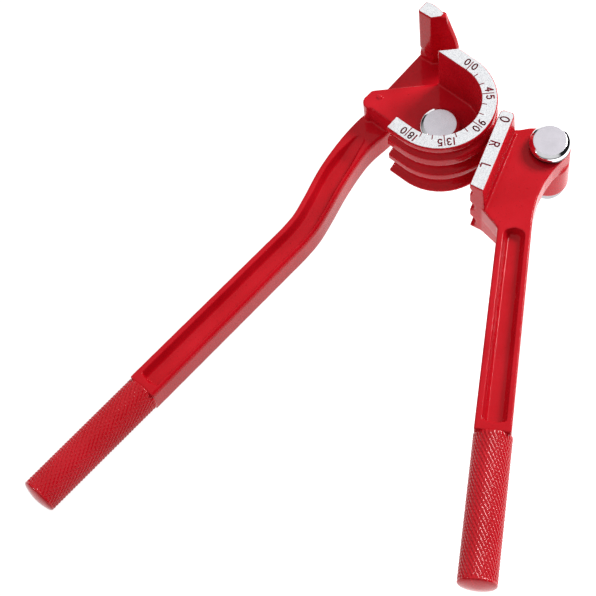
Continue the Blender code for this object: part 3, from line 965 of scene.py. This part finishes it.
def dial():
    """The white dial on top of the die, with its ticks and figures."""
    inner, outer = DIE_IN + 0.15, DIE_R - 0.45
    ring = [(outer, CUT_SUM - outer - 0.2)] + arc((0.0, 0.0), outer, 0.0, -180.0, 90)
    ring += [(-outer, DIE_TAIL - 0.2), (-inner, DIE_TAIL - 0.2)]
    ring += arc((0.0, 0.0), inner, -180.0, 0.0, 90) + [(inner, CUT_SUM - inner - 0.2)]
    film("dial_paint", ring, "former", "degree_dial")
    bm = bmesh.new()
    rows = {0: "00", 45: "45", 90: "90", 135: "135", 180: "180"}
    clear = 2.15                     # from a tick to the middle of a figure beside it
    for degrees in range(0, 181, 15):
        a = radians(-degrees)
        out = Vector((cos(a), sin(a)))
        major = degrees in rows
        reach = LONG_TICK if major else SHORT_TICK
        stroke(bm, [tuple(out * (inner + 0.2)), tuple(out * (inner + reach))], TICK_W)
        if not major:
            continue
        text = rows[degrees]
        left, right = text[:-1], text[-1]
        across = Vector((out.y, -out.x))
        centre = out * FIGURE_R
        for k, character in enumerate(reversed(left)):
            away = clear + 2.75 * k - (0.5 if character == "1" else 0.0)
            glyph(bm, character, centre - across * away, out, FIGURE, FIGURE_W)
        glyph(bm, right, centre + across * clear, out, FIGURE, FIGURE_W)
    marks_piece("dial_marks", bm, "former")


def shoe_strip():
    """The white strip on top of the shoe, with its letters."""
    low, high = SHOE_ENDS
    a, b = SHOE_FACE + 0.35, SHOE_BACK - 0.2
    strip = [(low + 0.25, a), (high - 2.0, a), (high - 0.9, a + 0.5), (high - 0.4, a + 1.8)]
    strip += [(high - 0.4, b - 1.8), (high - 0.9, b - 0.5), (high - 2.0, b), (low - 0.75, b)]
    film("shoe_paint", [uv(*p) for p in strip], "arm", "shoe_scale")
    bm = bmesh.new()
    for u, character in ((-0.4, "0"), (-14.4, "R"), (-26.8, "L")):
        glyph(bm, character, uv(u, LETTER_V), V, LETTER, LETTER_W)
        stroke(bm, [uv(u, a + 0.25), uv(u, a + 0.8)], 0.46)
    marks_piece("shoe_marks", bm, "arm")


def hook_top():
    """The white top of the hook."""
    film("hook_paint", inset(POST, 0.45), "former", "hook_cap")


fixed_casting()
swing_casting()
knurled_grip("fixed_grip_knurled", A_GRIP, A_DIR, A_TOP - BEAM_T / 2.0, "former",
             "fixed_grip")
knurled_grip("swing_grip_knurled", along_b(B_GRIP, 0.0), B_DIR, B_TOP - BEAM_T / 2.0, "arm",
             "swing_grip")
headed_pin("centre_pin", (0.0, 0.0), FLOOR_TOP, "former")
headed_pin("arm_pin", ARM_PIN, B_TOP, "link")
link_plate()
retaining_ring("centre_ring", (0.0, 0.0), "former")
retaining_ring("arm_ring", ARM_PIN, "link")
dial()
shoe_strip()
hook_top()


# ------------------------------------------------------- floor, light, view

def pale_floor():
    """A white floor that glows more towards the camera's right."""
    paint = bpy.data.materials.new("studio_floor")
    paint.use_nodes = True
    tree = paint.node_tree
    shader = tree.nodes["Principled BSDF"]
    shader.inputs["Base Color"].default_value = (0.10, 0.10, 0.10, 1.0)
    shader.inputs["Roughness"].default_value = 0.9
    shader.inputs["Specular IOR Level"].default_value = 0.0
    shader.inputs["Emission Color"].default_value = (1.0, 1.0, 1.0, 1.0)
    coords = tree.nodes.new("ShaderNodeTexCoord")
    across = tree.nodes.new("ShaderNodeVectorMath")
    across.operation = "DOT_PRODUCT"
    across.inputs[1].default_value = (0.65, -0.75, 0.0)
    tree.links.new(coords.outputs["Object"], across.inputs[0])
    glow = tree.nodes.new("ShaderNodeMapRange")
    glow.inputs["From Min"].default_value = -0.10
    glow.inputs["From Max"].default_value = 0.15
    glow.inputs["To Min"].default_value = 0.96
    glow.inputs["To Max"].default_value = 2.0
    tree.links.new(across.outputs["Value"], glow.inputs["Value"])
    tree.links.new(glow.outputs["Result"], shader.inputs["Emission Strength"])
    bm = bmesh.new()
    bmesh.ops.create_circle(bm, cap_ends=True, segments=64, radius=6.0)
    mesh = bpy.data.meshes.new("studio_floor")
    bm.to_mesh(mesh)
    bm.free()
    mesh.materials.append(paint)
    floor = bpy.data.objects.new("studio_floor", mesh)
    floor.location.z = cad_low.z - 0.0002
    bpy.context.scene.collection.objects.link(floor)


def soft_sky():
    """Even light from above, dark near the horizon and in a patch at the right.

    Each row is a direction with grey levels by how closely a ray points that way."""
    world = bpy.data.worlds.new("studio")
    bpy.context.scene.world = world
    world.use_nodes = True
    tree = world.node_tree
    back = tree.nodes["Background"]
    coords = tree.nodes.new("ShaderNodeTexCoord")
    sky = tree.nodes.new("ShaderNodeMix")
    sky.data_type = "RGBA"
    sky.blend_type = "MULTIPLY"
    sky.inputs[COLOUR_MIX_INPUTS[0]].default_value = 1.0
    height = ((0.0, 0.0, 1.0), ((0.20, 0.02), (0.42, 0.42), (0.80, 0.82)))
    patch = ((0.55, -0.70, 0.45), ((0.0, 1.0), (0.76, 1.0), (0.87, 0.03)))
    for (pole, stops), socket in zip((height, patch), COLOUR_MIX_INPUTS[1:]):
        dot = tree.nodes.new("ShaderNodeVectorMath")
        dot.operation = "DOT_PRODUCT"
        dot.inputs[1].default_value = pole
        tree.links.new(coords.outputs["Generated"], dot.inputs[0])
        ramp = tree.nodes.new("ShaderNodeValToRGB")
        ramp.color_ramp.elements.new(0.5)
        for element, (position, level) in zip(ramp.color_ramp.elements, stops):
            element.position = position
            element.color = (level, level, level, 1.0)
        tree.links.new(dot.outputs["Value"], ramp.inputs["Fac"])
        tree.links.new(ramp.outputs["Color"], sky.inputs[socket])
    tree.links.new(sky.outputs[COLOUR_MIX_OUTPUT], back.inputs["Color"])
    back.inputs["Strength"].default_value = 1.0


def softbox(name, place_at, width, height, watts):
    """A rectangular lamp, in metres, aimed at the middle of the bender."""
    lamp = bpy.data.lights.new(name, "AREA")
    lamp.shape = "RECTANGLE"
    lamp.size = width
    lamp.size_y = height
    lamp.energy = watts
    obj = bpy.data.objects.new(name, lamp)
    obj.location = place_at
    towards = Vector((-0.05, 0.0, 0.02)) - Vector(place_at)
    obj.rotation_euler = towards.to_track_quat("-Z", "Y").to_euler()
    bpy.context.scene.collection.objects.link(obj)


def plain_tones():
    view = bpy.context.scene.view_settings
    view.view_transform = "Standard"
    view.look = "None"


CAMERA_AT = Vector((-0.3723, -0.3172, 0.8688))       # metres in the frame
CAMERA_RIGHT = Vector((0.6516, -0.7546, -0.0779))
CAMERA_BACK = Vector((-0.2792, -0.3341, 0.9002))
FOCAL_WIDTHS = 2000.0 / 596.0                        # focal length in picture widths
SENSOR_W = 36.0


def camera():
    lens = bpy.data.cameras.new("view")
    lens.sensor_width = SENSOR_W
    lens.lens = SENSOR_W * FOCAL_WIDTHS
    lens.clip_start = 0.05
    lens.clip_end = 50.0
    obj = bpy.data.objects.new("view", lens)
    back = CAMERA_BACK.normalized()
    right = (CAMERA_RIGHT - back * CAMERA_RIGHT.dot(back)).normalized()
    up = back.cross(right)
    turn = Matrix((right, up, back)).transposed().to_4x4()
    obj.matrix_world = Matrix.Translation(CAMERA_AT) @ turn
    bpy.context.scene.collection.objects.link(obj)
    bpy.context.scene.camera = obj


pale_floor()
soft_sky()
softbox("key_softbox", (1.15, -0.32, 1.05), 0.65, 0.55, 25.0)
softbox("edge_strip", (-1.12, 0.78, 0.83), 0.08, 0.45, 3.4)
plain_tones()
camera()
